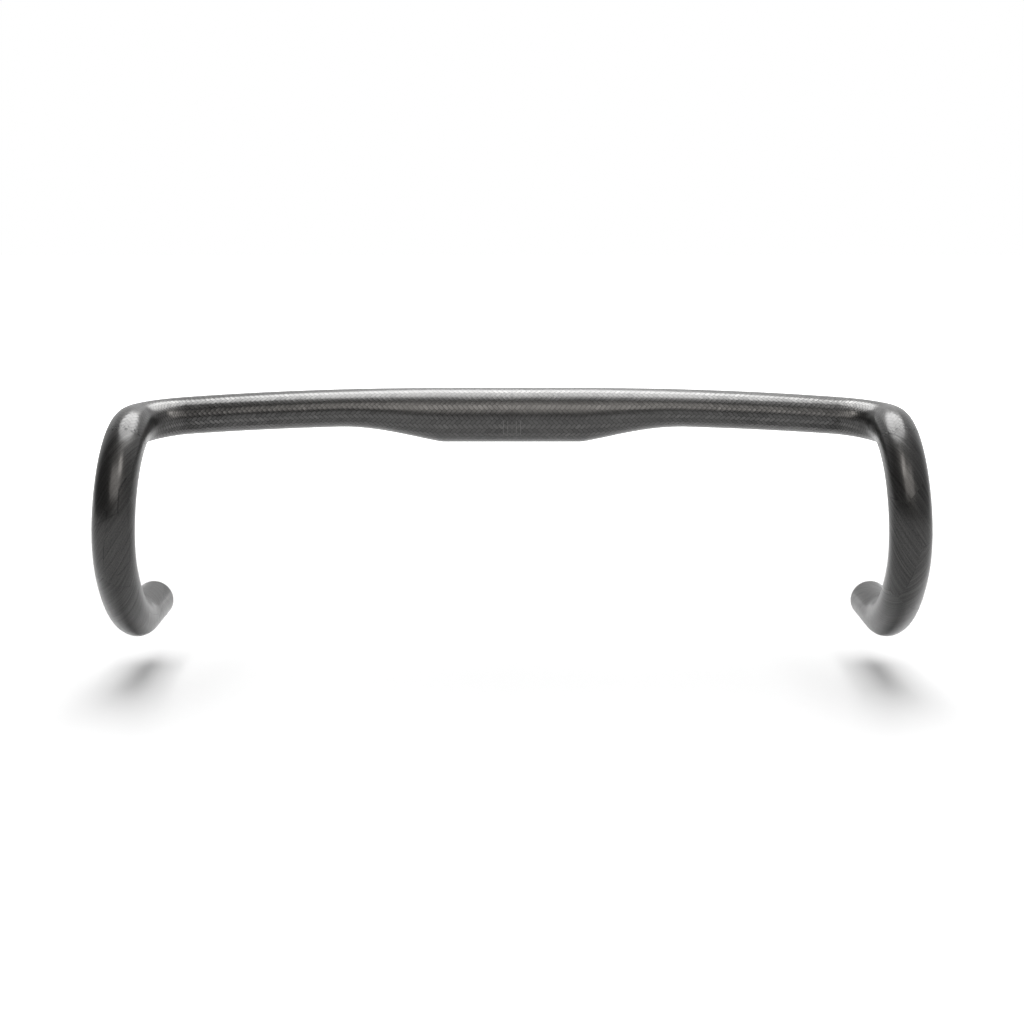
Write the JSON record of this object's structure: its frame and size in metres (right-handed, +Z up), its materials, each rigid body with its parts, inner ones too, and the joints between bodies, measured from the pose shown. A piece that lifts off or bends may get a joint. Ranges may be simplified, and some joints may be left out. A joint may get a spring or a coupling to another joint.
{
  "type": "bicycle handlebar",
  "caption": "Compact drop handlebar for a road bicycle, one hollow carbon moulding with flattened tops and open bar ends.",
  "frame": {"origin": "centre of the round zone that the stem clamps", "axes": "+X across the bar to the rider's left, +Y back towards the rider, +Z up, with the drops level"},
  "size_m": [0.4748, 0.1311, 0.1515],
  "materials": {
    "carbon": "satin clear coat over woven and unidirectional carbon fibre"
  },
  "bodies": {
    "root": {"handlebar": "carbon"}
  },
  "joints": []
}
